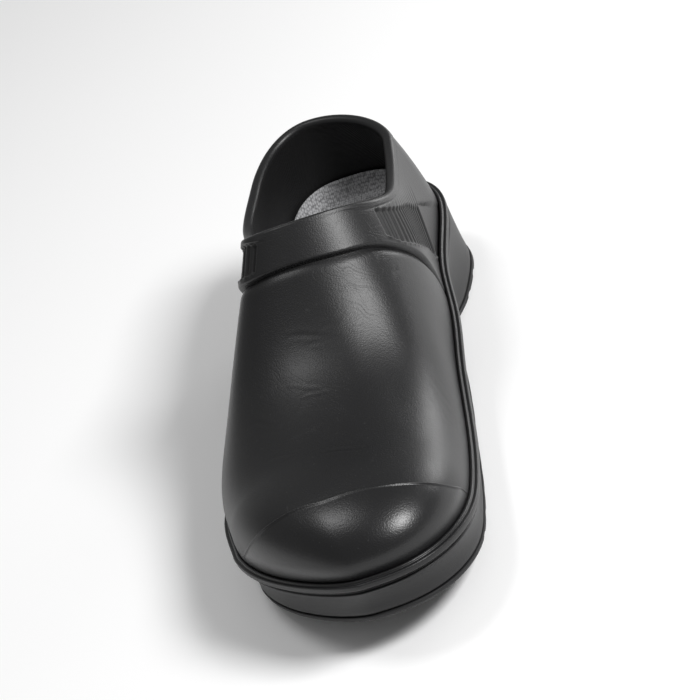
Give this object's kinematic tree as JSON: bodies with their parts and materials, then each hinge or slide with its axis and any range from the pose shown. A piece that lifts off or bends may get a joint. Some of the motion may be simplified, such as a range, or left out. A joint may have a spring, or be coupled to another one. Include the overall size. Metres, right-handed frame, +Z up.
{
  "type": "chef clog",
  "caption": "Closed moulded work clog, right shoe: domed toe cap, proud instep band, ribbed side panels, open collar, thick grooved sole and loose insole.",
  "frame": {"origin": "on the ground, under the middle of the shoe's box", "axes": "+Z up from the ground, -Y toward the toe, +X toward the foot's inner side"},
  "size_m": [0.1182, 0.297, 0.1187],
  "materials": {
    "upper": "satin moulded polyurethane",
    "welt": "satin moulded polyurethane",
    "midsole": "fine-grained moulded polyurethane",
    "outsole": "matt rubbery polyurethane",
    "insole": "knitted textile cover"
  },
  "bodies": {
    "root": {"upper": "upper", "welt": "welt", "midsole": "midsole", "outsole": "outsole", "insole": "insole"}
  },
  "joints": []
}
